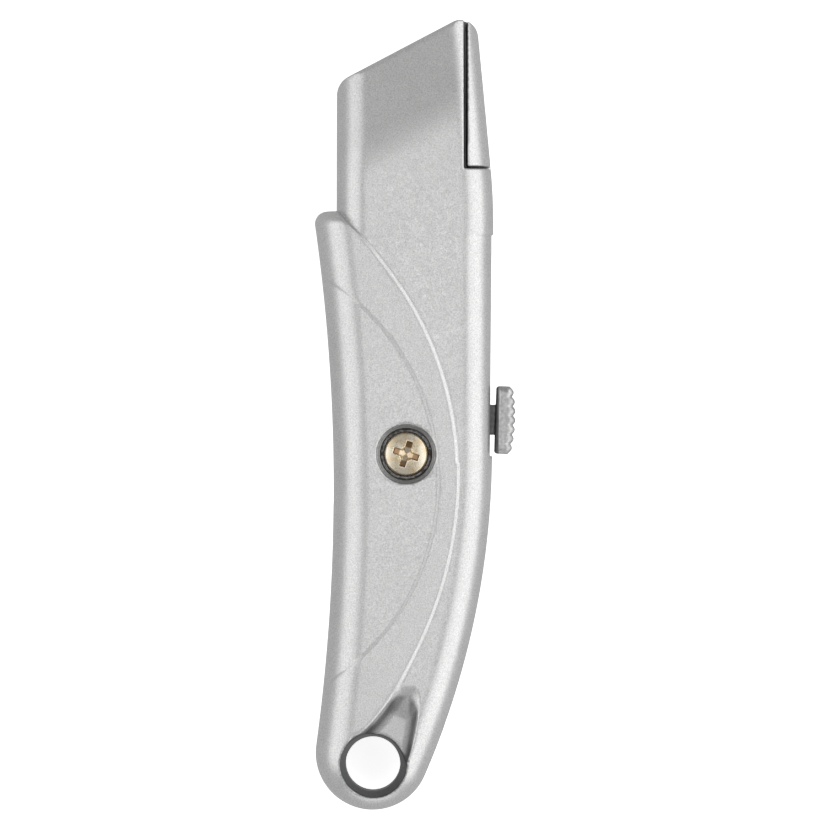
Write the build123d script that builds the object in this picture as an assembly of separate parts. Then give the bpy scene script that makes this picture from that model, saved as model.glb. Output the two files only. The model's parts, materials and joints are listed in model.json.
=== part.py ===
from build123d import *
from math import asin, atan2, cos, degrees, hypot, radians, sin, sqrt, tan
import os

# Retractable utility knife with a trapezoid blade, lying on its rear half.
# Design frame: X runs from the tail (0) to the nose, Y from the spine towards the belly,
# and Z is the thickness, with the parting plane of the two halves at Z = 0.

# ---- driving sizes, in millimetres --------------------------------------------------------
length = 155.0              # tail to nose tip
half_thickness = 8.3        # parting plane to the grip's outer face
step_height = 0.35          # grip panel stands this much above the nose and spine
panel_depth = 0.18          # inner panel lies this much below the grip
nose_height = 30.55         # spine datum to the straight belly edge of the nose
shoulder_height = 34.85     # spine datum to the finger guard
shoulder_back = 40.0        # nose tip to the finger guard's widest point
shoulder_edge_back = 37.6   # nose tip to the guard's front edge
shoulder_radius = 2.4
tail_radius = 11.15
spine_arc_radius = 160.0
spine_arc_start = 70.5      # tail to where the spine begins to curve
belly_arc_radius = 370.0
spine_round = 6.2           # edge roundings of spine, grip belly and nose belly
belly_round = 7.3
nose_belly_round = 6.0

nose_angle = 27.8           # front edge away from square
nose_chin_back = 12.42      # nose tip to the front edge's belly corner
nose_tip_radius = 3.5
nose_chin_radius = 4.0
nose_taper_angle = 9.5
nose_taper_length = 15.5    # along the slope's normal, from the front edge to the fold
nose_taper_radius = 45.0
nose_spine_rise = 0.25      # nose spine stands above the slider track's surface
nose_spine_slope = 5.36
nose_spine_bend_back = 34.65
nose_spine_bend_radius = 120.0

track_front_back = 42.2     # nose tip to the front end of the slider track
track_length = 43.4
track_depth_front = 0.1
track_depth_rear = 0.5
slot_width = 3.3            # slot for the button's stem, across both halves

strip_width = 4.85          # spine strip of the nose that belongs to the rear half
strip_back = 28.8           # nose tip to the strip's rear end
strip_gap = 0.45
strip_gap_side = 0.75

hole_x = 9.1
hole_y = 23.4
hole_radius = 5.35
hole_mouth_radius = 6.6
hole_bore_half = 3.0        # half length of the cylindrical part of the hole
hole_wall = 1.55
pocket_depth = 2.6

screw_x = 69.85
screw_y = 16.9
screw_radius = 2.45
screw_clearance = 0.25
thread_clearance = 0.05
screw_head_radius = 4.45
screw_head_height = 2.3
screw_head_edge = 1.3
screw_recess_radius = 5.1
screw_recess_mouth = 5.85
screw_recess_mouth_depth = 0.6
screw_recess_depth = 3.4
screw_bite = 5.0            # shank below the parting plane
cross_arm = 2.65
cross_width = 1.2
cross_depth = 1.7
cross_turn = 18.0
boss_radius = 4.0
boss_spigot = 1.2
boss_clearance = 0.15

outer_apex = (66.0, 6.6)    # nearest point of the raised grip's edge to the spine
outer_radius_front = 66.0
outer_radius_rear = 76.0
inner_apex = (64.5, 10.6)
inner_radius = 46.6

wall = 2.0                  # side walls of the halves
cavity_half = 5.2           # half depth of the chamber
shelf_half = 3.7            # half depth along its rim and beside the hang hole
shelf_width = 0.7
rail_x = 26.0               # chamber is shallow behind this
chamber_front_back = 31.0   # nose tip to the front end of the grip chamber
nose_lip = 3.0              # front wall around the blade slot

blade_length = 61.0
blade_back_length = 33.0
blade_height = 19.0
blade_thickness = 0.6
blade_bevel = 1.6
notch_spacing = 10.0
notch_width = 3.0
notch_depth = 2.6
blade_back_y = 8.0
blade_tip_back = 13.0       # nose tip to the blade's tip when retracted
blade_gap = 0.3             # clearance around the blade in its slot
travel = 28.0

spare_count = 5
spare_pitch = 0.63
spare_x = 12.5              # tail to the spares' heel
spare_wall_gap = 0.17       # belly's inner wall to the middle of their edges
spare_clearance = 0.45
spare_below = 0.5           # parting plane to the first spare
fence_wall = 1.2
rest_places = (22.0, 42.0)  # along the spares, from their heel to the ribs that hold them
cover_rib_y = (14.0, 26.0)

carrier_half = 2.6          # half thickness of the blade seat
seat_clearance = 0.3
bar_half = 4.3
bar_top_y = 2.9             # spine face of the bar
bar_bottom_y = 8.6
bar_rear_back = 86.4        # nose tip to the rear of the bar
bar_length = 26.8
seat_rear_back = 76.0
seat_front_back = 36.4
seat_bottom_y = 16.0
seat_corner = 4.0
rib_top_y = 6.3
bar_wall = 1.6              # end walls of the spring's pocket in the bar
bar_skin = 0.9
pad_length = 6.5            # pad that the spring is riveted to
pad_half = 2.4
lug_clearance = 0.1
window_length = 4.0         # lightening windows of the seat
window_places = (16.0, 22.0)

spring_thickness = 0.4
spring_y = 5.2
spring_half = 1.7
ear_half = 2.5
ear_length = 2.6
ear_reach_y = 1.75
rivet_radius = 0.9
rivet_head_radius = 1.7
rivet_head_height = 0.7
rivet_inset = 3.2           # pocket's front wall to the rivet
spring_play = 0.35          # room under the pressed spring
spring_nose = 2.6           # spring's end past the rivet
spring_tail = 4.2           # spring's end behind the button's middle
button_x_back = 78.45       # nose tip to the middle of the button
button_length = 13.3
button_half = 4.2
button_base_thickness = 1.25
button_base_y = -0.64
button_crest = 4.55         # spine datum to the top of the crest
button_crest_sag = 0.75     # crest's ends lie this much below its middle
button_corner = 0.4
button_under_chamfer = 0.8
button_crest_chamfer = 1.0
groove_radius = 0.72
groove_depth = 0.3
button_tilt = 2.0
button_teeth = 7
button_pitch = 1.85
button_press = 0.6
stem_length = 5.9
stem_half = 1.5
foot_length = 9.4
foot_half = 3.0
foot_thickness = 1.1
foot_clearance = 0.15

REACH = 60.0                # longer than any feature across the knife

os.makedirs("parts", exist_ok=True)


# ---- places worked out from the sizes -----------------------------------------------------
def from_nose(distance):
    return length - distance


def polar(centre, radius, angle):
    return (centre[0] + radius * cos(radians(angle)), centre[1] + radius * sin(radians(angle)))


def angle_to(centre, point):
    return degrees(atan2(point[1] - centre[1], point[0] - centre[0]))


low_top = half_thickness - step_height      # outer face of nose and spine
spine_centre = (spine_arc_start, spine_arc_radius)
tail_centre = (
    tail_radius,
    spine_arc_radius
    - sqrt((spine_arc_radius - tail_radius) ** 2 - (spine_arc_start - tail_radius) ** 2),
)
shoulder = (from_nose(shoulder_back), shoulder_height)


def belly_arc_centre():
    """Centre of the belly arc that touches the tail circle and passes through the shoulder."""
    reach_tail = belly_arc_radius + tail_radius
    reach_shoulder = belly_arc_radius
    gap_x = shoulder[0] - tail_centre[0]
    gap_y = shoulder[1] - tail_centre[1]
    gap = hypot(gap_x, gap_y)
    along = (reach_tail**2 - reach_shoulder**2 + gap**2) / (2 * gap)
    across = sqrt(reach_tail**2 - along**2)
    return (
        tail_centre[0] + (gap_x * along - gap_y * across) / gap,
        tail_centre[1] + (gap_y * along + gap_x * across) / gap,
    )


belly_centre = belly_arc_centre()
front_normal = (cos(radians(nose_angle)), sin(radians(nose_angle)))
chin = (from_nose(nose_chin_back), nose_height)


def front_x(y, inset=0.0):
    """X of the slanted front edge at height y, moved back by inset."""
    reach = chin[0] * front_normal[0] + chin[1] * front_normal[1] - inset
    return (reach - y * front_normal[1]) / front_normal[0]


def nose_spine_y(x, outset=0.0):
    """Y of the sloping spine line of the nose."""
    bend = from_nose(nose_spine_bend_back)
    return -nose_spine_rise - outset + (x - bend) * tan(radians(nose_spine_slope))


def prism(face, low, high):
    """Solid between two heights with the given plan face."""
    return extrude(Pos(0, 0, low) * face, amount=high - low)


def polygon(points):
    return make_face(Polyline(*points, close=True))


def rectangle(x0, y0, x1, y1):
    return polygon([(x0, y0), (x1, y0), (x1, y1), (x0, y1)])


def block(x0, x1, y0, y1, z0, z1):
    return prism(rectangle(x0, y0, x1, y1), z0, z1)


def disc(x, y, radius):
    return make_face(CenterArc((x, y), radius, 0, 360))


def grip_outline(inset, end_x):
    """Plan of spine, tail and belly, moved inwards by inset and closed at end_x."""
    spine_r = spine_arc_radius - inset
    tail_r = tail_radius - inset
    belly_r = belly_arc_radius + inset
    to_tail = angle_to(spine_centre, tail_centre)
    to_belly = angle_to(tail_centre, belly_centre)
    belly_end_y = belly_centre[1] - sqrt(belly_r**2 - (end_x - belly_centre[0]) ** 2)
    belly_end = (end_x, belly_end_y)
    from_tail = to_belly + 180
    from_end = angle_to(belly_centre, belly_end) % 360
    tail_sweep = (to_tail - to_belly) % 360
    edges = [
        Line((end_x, inset), (spine_arc_start, inset)),
        CenterArc(spine_centre, spine_r, -90, to_tail % 360 - 270),
        CenterArc(tail_centre, tail_r, to_tail, -tail_sweep),
        CenterArc(belly_centre, belly_r, from_tail, from_end - from_tail),
        Line(belly_end, (end_x, inset)),
    ]
    return make_face(edges)


def rounded_slab(inset, end_x, top, radius):
    """Slab from the parting plane up, with its spine, tail and belly edges rounded."""
    slab = prism(grip_outline(inset, end_x), 0, top)
    face = slab.faces().sort_by(Axis.Z)[-1]
    rim = [e for e in face.edges() if e.center().X < end_x - 0.01]
    return fillet(rim, radius)


# ---- outer shape of one half --------------------------------------------------------------
def grip_region():
    """Plan of the raised grip: inside its curved edge and behind the finger guard."""
    far_y = shoulder_height + 10
    front_centre = (outer_apex[0], outer_apex[1] + outer_radius_front)
    rear_centre = (outer_apex[0], outer_apex[1] + outer_radius_rear)
    front_end = degrees(asin((far_y - front_centre[1]) / outer_radius_front))
    rear_end = degrees(asin((far_y - rear_centre[1]) / outer_radius_rear))
    front_arc = CenterArc(front_centre, outer_radius_front, -90, front_end + 90)
    rear_arc = CenterArc(rear_centre, outer_radius_rear, -90, -(rear_end + 90))
    region = make_face([front_arc, rear_arc, Line(front_arc @ 1, rear_arc @ 1)])
    return region - shoulder_cutter()


def shoulder_cutter():
    """Plan region in front of the finger guard, with the guard's rounded corner."""
    slip = 0.05
    edge_x = from_nose(shoulder_edge_back)
    slope = (shoulder[0] - belly_centre[0]) / belly_arc_radius
    corner = (edge_x, shoulder[1] + slope * (edge_x - shoulder[0]) + slip)
    rear_x = shoulder[0] - 4
    rear_y = corner[1] + slope * (rear_x - edge_x)
    top_y = shoulder_height + 15
    region = polygon(
        [
            (rear_x, top_y),
            (rear_x, rear_y),
            corner,
            (edge_x, outer_apex[1]),
            (edge_x + REACH, outer_apex[1]),
            (edge_x + REACH, top_y),
        ]
    )
    return fillet(nearest(region.vertices(), corner), shoulder_radius)


def nearest(vertices, point):
    return min(vertices, key=lambda v: hypot(v.X - point[0], v.Y - point[1]))


def nose_slab():
    """Nose with its spine and belly edges rounded, still square at the front."""
    rear = from_nose(track_front_back)
    bend = (from_nose(nose_spine_bend_back), -nose_spine_rise)
    end = length + 12
    inner = rear - 8
    plan = polygon(
        [
            (rear, -nose_spine_rise),
            bend,
            (end, nose_spine_y(end)),
            (end, nose_height),
            (inner, nose_height),
            (inner, spine_round + 2.5),
            (rear, spine_round + 2.5),
        ]
    )
    plan = fillet(nearest(plan.vertices(), bend), nose_spine_bend_radius)
    slab = prism(plan, 0, low_top)
    top_edges = slab.faces().sort_by(Axis.Z)[-1].edges()
    spine_edges = [
        e for e in top_edges if e.center().Y < spine_round - 2 and e.bounding_box().size.X > 1
    ]
    slab = fillet(spine_edges, spine_round)
    top_edges = slab.faces().sort_by(Axis.Z)[-1].edges()
    belly_edges = [e for e in top_edges if e.center().Y > nose_height - 0.01]
    return fillet(belly_edges, nose_belly_round)


def nose_front_cutter():
    """Region in front of the slanted nose edge, with the rounded tip and chin."""
    slip = 0.05
    rear = from_nose(nose_chin_back + 12)
    slope = tan(radians(nose_spine_slope))
    reach = chin[0] * front_normal[0] + chin[1] * front_normal[1]
    line_start = nose_spine_y(0, slip)
    tip_x = (reach - line_start * front_normal[1]) / (front_normal[0] + slope * front_normal[1])
    tip = (tip_x, nose_spine_y(tip_x, slip))
    chin_y = nose_height + slip
    corner = (front_x(chin_y), chin_y)
    plan = polygon(
        [
            (rear, -REACH / 4),
            (rear, nose_spine_y(rear, slip)),
            tip,
            corner,
            (rear, chin_y),
            (rear, REACH),
            (length + 20, REACH),
            (length + 20, -REACH / 4),
        ]
    )
    plan = fillet(nearest(plan.vertices(), tip), nose_tip_radius)
    plan = fillet(nearest(plan.vertices(), corner), nose_chin_radius)
    return prism(plan, -REACH, REACH)


def nose_taper_cutter():
    """Region above the sloping face at the front of the nose."""
    inward = Vector(-front_normal[0], -front_normal[1], 0)
    along = Vector(-front_normal[1], front_normal[0], 0)
    origin = Vector(chin[0], chin[1], 0)
    plane = Plane(origin=origin, x_dir=inward, z_dir=along)
    slope = tan(radians(nose_taper_angle))
    start = -5.0
    blend = nose_taper_radius * tan(radians(nose_taper_angle / 2))
    fold = nose_taper_length
    slope_end = (
        fold - blend * cos(radians(nose_taper_angle)),
        low_top - blend * sin(radians(nose_taper_angle)),
    )
    edges = [
        Line((start, low_top - slope * (fold - start)), slope_end),
        TangentArc([slope_end, (fold + blend, low_top)], tangent=(1, slope)),
        Line((fold + blend, low_top), (fold + blend, low_top + 5)),
        Line((fold + blend, low_top + 5), (start, low_top + 5)),
        Line((start, low_top + 5), (start, low_top - slope * (fold - start))),
    ]
    return extrude(plane * make_face(edges), amount=REACH, both=True)


def pocket_cutter():
    """Thumb-shaped pocket that runs from the hang hole towards the grip."""
    mouth = [
        (hole_x, hole_y + 1.0),
        (hole_x + 5.8, hole_y + 2.1),
        (hole_x + 11.4, hole_y - 2.8),
        (hole_x + 14.4, hole_y - 5.2),
        (hole_x + 13.8, hole_y - 8.6),
        (hole_x + 10.0, hole_y - 9.0),
        (hole_x + 2.1, hole_y - 7.3),
        (hole_x - 1.0, hole_y - 6.0),
    ]
    floor = [
        (hole_x, hole_y + 0.5),
        (hole_x + 6.0, hole_y + 0.2),
        (hole_x + 9.2, hole_y - 3.0),
        (hole_x + 10.0, hole_y - 4.4),
        (hole_x + 9.4, hole_y - 6.2),
        (hole_x + 7.0, hole_y - 6.5),
        (hole_x + 2.3, hole_y - 5.9),
        (hole_x, hole_y - 5.0),
    ]
    rise = 1.0
    spread = 1 + rise / pocket_depth
    above = [
        (f[0] + (m[0] - f[0]) * spread, f[1] + (m[1] - f[1]) * spread)
        for m, f in zip(mouth, floor)
    ]
    lower = Pos(0, 0, low_top - pocket_depth) * polygon(floor)
    upper = Pos(0, 0, low_top + rise) * polygon(above)
    return loft([lower, upper], ruled=True)


def track_cutter():
    front = from_nose(track_front_back)
    rear = front - track_length
    return prism(
        polygon([(front, -3), (front, track_depth_front), (rear, track_depth_rear), (rear, -3)]),
        -REACH,
        REACH,
    )


def outer_half():
    """Outer shape of one half, from the parting plane up, solid inside."""
    end_x = from_nose(shoulder_edge_back) + 12
    grip_plan = grip_region()
    raised = rounded_slab(0, end_x, half_thickness, belly_round)
    raised &= prism(grip_plan, -1, REACH)
    panel_disc = disc(inner_apex[0], inner_apex[1] + inner_radius, inner_radius)
    panel_prism = prism(panel_disc, -1, REACH)
    panel = rounded_slab(
        panel_depth, end_x, half_thickness - panel_depth, belly_round - panel_depth
    )
    raised = (raised - panel_prism) + (panel & panel_prism)
    low = rounded_slab(0, end_x, low_top, spine_round) - prism(grip_plan, -1, REACH)
    rear = from_nose(track_front_back)
    low -= block(rear - 5, end_x + 1, 20, REACH, -1, REACH)
    low -= block(rear + 0.5, end_x + 1, -5, REACH, -1, REACH)
    shape = low + nose_slab() - nose_taper_cutter() + raised
    shape -= nose_front_cutter()
    shape -= track_cutter()
    mouth = Pos(hole_x, hole_y, hole_bore_half) * Cone(
        hole_radius,
        hole_mouth_radius + (hole_mouth_radius - hole_radius) * 0.2,
        (low_top - hole_bore_half) * 1.2,
        align=(Align.CENTER, Align.CENTER, Align.MIN),
    )
    shape -= mouth
    shape -= prism(disc(hole_x, hole_y, hole_radius), -1, REACH)
    return shape - pocket_cutter()


# ---- inside of the halves -----------------------------------------------------------------
def chamber_plan(inset):
    """Plan of the grip's hollow, inset from the outline and clear of the hang hole."""
    front = from_nose(chamber_front_back)
    under_nose = rectangle(0, 0, front + 1, nose_height - inset)
    under_grip = rectangle(0, 0, from_nose(shoulder_edge_back) - 6, REACH)
    plan = grip_outline(inset, front) & (under_grip + under_nose)
    return plan - disc(hole_x, hole_y, hole_radius + hole_wall)


def chamber():
    """Hollow of the grip: shallow along its rim and beside the hang hole, deep elsewhere."""
    deep_zone = rectangle(rail_x, 0, length, REACH)
    deep = prism(chamber_plan(wall + shelf_width) & deep_zone, 0, cavity_half)
    return deep + prism(chamber_plan(wall), 0, shelf_half)


def nose_channel(depth, low_y, high_y):
    """Passage in the nose for the blade carrier, closed at the front by the lip."""
    start = from_nose(chamber_front_back) - 1
    plan = polygon(
        [
            (start, low_y),
            (front_x(low_y, nose_lip), low_y),
            (front_x(high_y, nose_lip), high_y),
            (start, high_y),
        ]
    )
    return prism(plan, 0, depth)


def blade_slot(half_width):
    low_y = blade_back_y - blade_gap
    high_y = blade_back_y + blade_height + blade_gap
    start = from_nose(chamber_front_back) - 1
    plan = polygon(
        [
            (start, low_y),
            (front_x(low_y, -3), low_y),
            (front_x(high_y, -3), high_y),
            (start, high_y),
        ]
    )
    return prism(plan, 0, half_width)


def blade_outline(x, y, extra=0.0):
    """Trapezoid with its cutting edge from (x, y) towards +X and its back at lower y."""
    lean = (blade_length - blade_back_length) / 2
    slant = hypot(lean, blade_height) / blade_height
    side = extra * slant + extra * lean / blade_height
    back = extra * slant - extra * lean / blade_height
    return polygon(
        [
            (x - side, y + extra),
            (x + blade_length + side, y + extra),
            (x + blade_length - lean + back, y - blade_height - extra),
            (x + lean - back, y - blade_height - extra),
        ]
    )


def spare_place(shape):
    """Moves a blade so that its cutting edge lies along the inner wall of the belly."""
    half = blade_length / 2
    reach = belly_arc_radius + wall + spare_wall_gap
    across = spare_x + half - belly_centre[0]
    y = belly_centre[1] - sqrt(reach**2 - across**2)
    lean = degrees(asin(across / reach))
    return Pos(spare_x + half, y, 0) * (Rot(0, 0, lean) * (Pos(-half, 0, 0) * shape))


def spine_slot(depth):
    """Half of the slot that the button's stem runs in, open to the spine."""
    front = from_nose(track_front_back) - 0.6
    rear = front - track_length + 3.6
    return block(rear, front, -3, wall + 1, 0, depth)


def lip_notches():
    """Notches under both lips of the slot, for the lock spring's ears."""
    middle = from_nose(button_x_back)
    half = ear_length / 2 + 0.2
    depth_y = ear_reach_y - 0.25
    depth = ear_half + 0.3
    notch = block(middle - half, middle + half, depth_y, wall + 1, 0, depth)
    return notch + Pos(travel, 0, 0) * notch


def rear_half():
    """Rear half in place below the parting plane, with the nose strip above it."""
    outer = outer_half()
    strip_rear = from_nose(strip_back)
    strip_zone = block(strip_rear, length + 5, -5, strip_width, -1, REACH)
    body = mirror(outer, about=Plane.XY) + (outer & strip_zone)
    hollow = chamber()
    hollow += nose_channel(carrier_half + seat_clearance, rib_top_y - 0.4, seat_bottom_y + 0.6)
    hollow += blade_slot(blade_thickness / 2 + blade_gap)
    hollow += spine_slot(slot_width / 2)
    hollow += lip_notches()
    body -= mirror(hollow, about=Plane.XY)
    fence = spare_place(
        blade_outline(0, 0, spare_clearance + fence_wall) - blade_outline(0, 0, spare_clearance)
    )
    keep = grip_outline(wall - 0.5, from_nose(chamber_front_back))
    keep &= rectangle(rail_x - 1, 0, length, REACH)
    keep -= disc(screw_x, screw_y, boss_radius)
    body += prism(fence & keep, -cavity_half - 0.5, -spare_clearance)
    rib_top = -spare_below - spare_count * spare_pitch
    for place in rest_places:
        rib = rectangle(spare_x + place, 0, spare_x + place + fence_wall, REACH)
        rib &= spare_place(blade_outline(0, 0, spare_clearance + 0.1))
        body += prism(rib, -cavity_half - 0.5, rib_top)
    boss = prism(disc(screw_x, screw_y, boss_radius), -cavity_half - 0.5, boss_spigot)
    boss -= prism(spare_place(blade_outline(0, 0, 0.1)), rib_top, boss_spigot + 1)
    body += boss
    body -= prism(disc(screw_x, screw_y, screw_radius + thread_clearance), -screw_bite - 0.8, REACH)
    return body


def front_half():
    """Front half in place above the parting plane."""
    body = outer_half()
    strip_rear = from_nose(strip_back)
    zone = rectangle(strip_rear - strip_gap, -5, length + 5, strip_width + strip_gap_side)
    body -= prism(zone, -1, REACH)
    hollow = chamber()
    hollow += nose_channel(carrier_half + seat_clearance, rib_top_y - 0.4, blade_back_y + 1.2)
    hollow += blade_slot(blade_thickness / 2 + blade_gap)
    hollow += spine_slot(slot_width / 2)
    hollow += lip_notches()
    body -= hollow
    recess_floor = half_thickness - panel_depth - screw_recess_depth
    body += prism(
        disc(screw_x, screw_y, screw_recess_radius + 1.6), boss_spigot + 0.1, cavity_half + 0.5
    )
    socket = disc(screw_x, screw_y, boss_radius + boss_clearance)
    body -= prism(socket, -1, boss_spigot + 0.2)
    body -= prism(disc(screw_x, screw_y, screw_radius + screw_clearance), -1, REACH)
    body -= prism(disc(screw_x, screw_y, screw_recess_radius), recess_floor, REACH)
    mouth_floor = half_thickness - panel_depth - screw_recess_mouth_depth
    body -= prism(disc(screw_x, screw_y, screw_recess_mouth), mouth_floor, REACH)
    for place in rest_places:
        rib = rectangle(spare_x + place, cover_rib_y[0], spare_x + place + fence_wall, cover_rib_y[1])
        body += prism(rib, 0.2, cavity_half + 0.5)
    return body


# ---- blades ---------------------------------------------------------------------------------
def blade(z_low):
    """Trapezoid blade whose cutting edge runs along local +X at y = 0, back at -height."""
    solid = prism(blade_outline(0, 0), z_low, z_low + blade_thickness)
    middle = blade_length / 2
    for side in (-1, 1):
        x = middle + side * notch_spacing / 2
        cut = rectangle(
            x - notch_width / 2,
            -blade_height - 1,
            x + notch_width / 2,
            -blade_height + notch_depth - notch_width / 2,
        )
        cut += disc(x, -blade_height + notch_depth - notch_width / 2, notch_width / 2)
        solid -= prism(cut, z_low - 1, z_low + blade_thickness + 1)
    drop = blade_thickness / 2 - 0.03
    mid = z_low + blade_thickness / 2
    for side in (-1, 1):
        wedge = Polyline(
            (0, 0.5, mid + side * 0.03),
            (0, -blade_bevel, mid + side * (0.03 + drop)),
            (0, 0.5, mid + side * (0.03 + drop + 1)),
            close=True,
        )
        wedge_top = make_face(wedge)
        solid -= extrude(wedge_top, amount=blade_length * 2, dir=(1, 0, 0), both=True)
    return solid


def cutting_blade():
    x = from_nose(blade_tip_back) - blade_length
    return Pos(x, blade_back_y + blade_height, 0) * blade(-blade_thickness / 2)


def spare_blade(number):
    z_low = -spare_below - number * spare_pitch - blade_thickness
    return spare_place(blade(z_low))


# ---- slider ---------------------------------------------------------------------------------
def blade_carrier():
    """Bar that slides behind the spine, with a seat for the blade and a pocket for the spring."""
    rear = from_nose(bar_rear_back)
    front = rear + bar_length
    seat_rear = from_nose(seat_rear_back)
    seat_front = from_nose(seat_front_back)
    seat_top = -blade_thickness / 2 - 0.02
    rib_bottom_y = blade_back_y - 0.05
    body = block(rear, front, bar_top_y, bar_bottom_y - bar_skin, -bar_half, bar_half)
    body += block(rear, front, bar_top_y + 2, bar_bottom_y, -carrier_half, seat_top)
    body += block(seat_rear, seat_front, rib_top_y, rib_bottom_y, -carrier_half, carrier_half)
    seat = polygon(
        [
            (seat_rear, rib_top_y),
            (seat_front, rib_top_y),
            (seat_front, seat_bottom_y - seat_corner),
            (seat_front - seat_corner, seat_bottom_y),
            (seat_rear + 14, seat_bottom_y),
            (seat_rear, bar_bottom_y),
        ]
    )
    body += prism(seat, -carrier_half, seat_top)
    middle = from_nose(blade_tip_back) - blade_length / 2
    lug_half = notch_width / 2 - lug_clearance
    lug_end = blade_back_y + notch_depth - notch_width / 2
    for side in (-1, 1):
        x = middle + side * notch_spacing / 2
        lug = rectangle(x - lug_half, blade_back_y - 0.5, x + lug_half, lug_end)
        lug += disc(x, lug_end, lug_half)
        body += prism(lug, seat_top - 0.3, blade_thickness / 2)
    inner = bar_half - bar_skin
    pocket_front = front - bar_wall
    floor_y = spring_floor_y()
    body -= block(rear + bar_wall, pocket_front, bar_top_y - 1, floor_y, -inner, inner)
    pad_rear = pocket_front - pad_length
    pad_y = spring_y + spring_thickness
    body += block(pad_rear, pocket_front + 0.1, pad_y, floor_y + 0.5, -pad_half, pad_half)
    body -= cylinder_along_y(spring_rivet_x(), spring_y, floor_y + 1, rivet_radius)
    window_low = blade_back_y + 2.5
    window_high = seat_bottom_y - 2
    for place in window_places:
        x = seat_rear + place
        body -= block(x, x + window_length, window_low, window_high, -carrier_half - 1, seat_top + 1)
    return body


def spring_floor_y():
    """Floor of the bar's pocket, below the spring when the button is pressed."""
    return spring_y + spring_thickness + button_press + spring_play


def cylinder_along_y(x, y0, y1, radius):
    return extrude(Plane(origin=(x, y0, 0), z_dir=(0, 1, 0)) * Circle(radius), amount=y1 - y0)


def spring_rivet_x():
    return from_nose(bar_rear_back) + bar_length - bar_wall - rivet_inset


def spring_rivet():
    x = spring_rivet_x()
    shank = cylinder_along_y(x, spring_y - 0.1, spring_floor_y() + 0.9, rivet_radius)
    head = cylinder_along_y(x, spring_y - rivet_head_height, spring_y, rivet_head_radius)
    rim = head.edges().filter_by(GeomType.CIRCLE).sort_by(Axis.Y)[0]
    return shank + fillet(rim, rivet_head_height / 2)


def lock_spring():
    """Leaf spring riveted to the carrier, with two ears that catch under the slot's lips."""
    middle = from_nose(button_x_back)
    rear = middle - spring_tail
    front = spring_rivet_x() + spring_nose
    far_y = spring_y + spring_thickness
    half = ear_length / 2
    leaf = block(rear, front, spring_y, far_y, -spring_half, spring_half)
    leaf += block(middle - half, middle + half, spring_y, far_y, -ear_half, ear_half)
    for side in (-1, 1):
        low, high = sorted((side * (ear_half - spring_thickness), side * ear_half))
        leaf += block(middle - half, middle + half, ear_reach_y, spring_y + 0.1, low, high)
    hole = cylinder_along_y(spring_rivet_x(), spring_y - 1, far_y + 1, rivet_radius + 0.02)
    return leaf - hole


def crest_height(x):
    """Height of the button's crest above its underside, x from the middle."""
    rise = button_crest + button_base_y
    half = button_length / 2
    radius = (half**2 + button_crest_sag**2) / (2 * button_crest_sag)
    return rise - radius + sqrt(radius**2 - x**2)


def button_cap():
    """Cap with a crowned crest and grooves across it, crest towards -Y, centred on X = 0."""
    half = button_length / 2
    low = crest_height(half)
    sides = Polyline(
        (-half, low),
        (-half, button_corner),
        (-half + button_corner, 0),
        (half - button_corner, 0),
        (half, button_corner),
        (half, low),
    )
    crown = ThreePointArc((half, low), (0, crest_height(0)), (-half, low))
    cap = prism(make_face([sides, crown]), -button_half, button_half)
    under = [e for e in cap.edges() if abs(e.center().Y) < 0.01 and e.bounding_box().size.X > 1]
    cap = chamfer(under, button_under_chamfer)
    crest = [e for e in cap.edges() if e.center().Y > low + 0.01 and e.bounding_box().size.X > 1]
    cap = chamfer(crest, button_crest_chamfer)
    for k in range(button_teeth + 1):
        x = (k - button_teeth / 2) * button_pitch
        groove = disc(x, crest_height(x) + groove_radius - groove_depth, groove_radius)
        cap -= prism(groove, -button_half - 1, button_half + 1)
    return Rot(180, 0, 0) * cap


def thumb_button():
    """Button with a grooved crest, a stem through the spine slot and a foot inside."""
    middle = from_nose(button_x_back)
    cap = Pos(middle, button_base_y, 0) * (Rot(0, 0, -button_tilt) * button_cap())
    foot_top = wall + foot_clearance
    foot_bottom = foot_top + foot_thickness
    stem_top = button_base_y - button_base_thickness / 2
    push_end = spring_y - 0.03
    half_stem = stem_length / 2
    half_foot = foot_length / 2
    gap = ear_length / 2 + 0.3
    stem = block(middle - half_stem, middle + half_stem, stem_top, foot_bottom, -stem_half, stem_half)
    foot = block(middle - half_foot, middle + half_foot, foot_top, foot_bottom, -foot_half, foot_half)
    for side in (-1, 1):
        low, high = sorted((side * (stem_half + 0.05), side * (foot_half + 1)))
        foot -= block(middle - gap, middle + gap, foot_top - 1, foot_bottom + 1, low, high)
    push_start = foot_bottom - 0.1
    push = block(middle - stem_half, middle + stem_half, push_start, push_end, -stem_half, stem_half)
    return cap + stem + foot + push


# ---- screw ----------------------------------------------------------------------------------
def body_screw():
    """Pan head screw with a cross recess, seated on the floor of its counterbore."""
    seat = half_thickness - panel_depth - screw_recess_depth
    edge = seat + screw_head_edge
    top = seat + screw_head_height
    rise = top - edge
    crown = (screw_head_radius**2 + rise**2) / (2 * rise)
    tip = screw_radius - 0.5
    profile = make_face(
        [
            Line((0, -screw_bite), (tip, -screw_bite)),
            Line((tip, -screw_bite), (screw_radius, -screw_bite + 0.5)),
            Line((screw_radius, -screw_bite + 0.5), (screw_radius, seat)),
            Line((screw_radius, seat), (screw_head_radius, seat)),
            Line((screw_head_radius, seat), (screw_head_radius, edge)),
            RadiusArc((screw_head_radius, edge), (0, top), -crown),
            Line((0, top), (0, -screw_bite)),
        ]
    )
    solid = revolve(Plane.XZ * profile, Axis.Z)
    arm = rectangle(-cross_arm, -cross_width / 2, cross_arm, cross_width / 2)
    cross = arm + Rot(0, 0, 90) * arm
    solid -= Rot(0, 0, -cross_turn) * prism(cross, top - cross_depth, top + 1)
    return Pos(screw_x, screw_y, 0) * solid


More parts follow.
